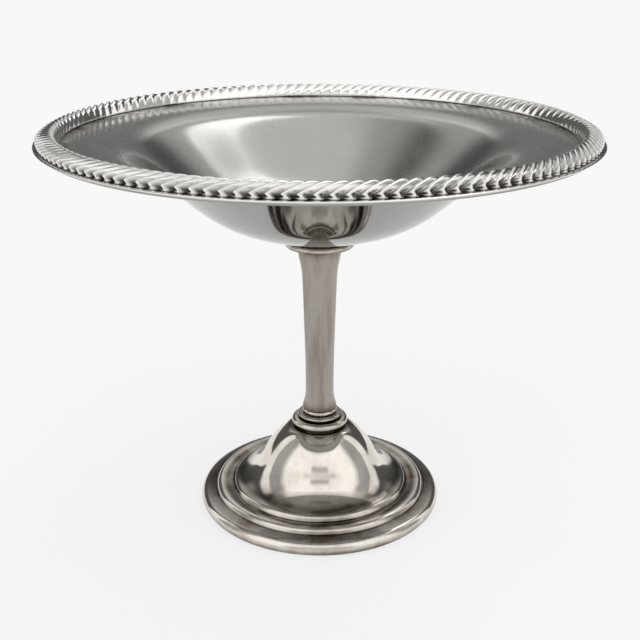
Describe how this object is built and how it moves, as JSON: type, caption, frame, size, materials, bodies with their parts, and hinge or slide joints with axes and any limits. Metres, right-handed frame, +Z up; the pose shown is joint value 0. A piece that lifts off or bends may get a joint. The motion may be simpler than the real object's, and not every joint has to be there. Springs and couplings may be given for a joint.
{
  "type": "footed compote bowl",
  "caption": "Round footed compote bowl with a gadroon border on a wide flange, a tall slender stem with a ringed knop, and a stepped domed foot.",
  "frame": {"origin": "middle of the foot's rim on the plane it stands on", "axes": "+Z up along the axis of the stem and bowl; the piece is round, so X and Y are free"},
  "size_m": [0.1524, 0.1524, 0.1157],
  "materials": {
    "bowl_silver": "satin-worn polished silver plate",
    "border_silver": "bright polished silver, dark in the grooves",
    "stem_silver": "satin silver plate with faint streaks",
    "ring_silver": "bright polished silver, a little warm with tarnish",
    "foot_silver": "bright polished silver, a little warm with tarnish",
    "plate_silver": "dull burnished plate",
    "brass": "turned",
    "rod_steel": "plain drawn steel",
    "plaster": "rough cast"
  },
  "bodies": {
    "root": {"bowl": "bowl_silver", "gadroon_border": "border_silver", "bowl_boss": "stem_silver", "bowl_stud": "brass", "collar": "ring_silver", "stem": "stem_silver", "stem_bush": "brass", "stem_bead": "ring_silver", "knop": "ring_silver", "foot": "foot_silver", "tie_rod": "rod_steel", "rod_washer": "rod_steel", "rod_nut": "rod_steel", "foot_filler": "plaster", "base_plate": "plate_silver"}
  },
  "joints": []
}
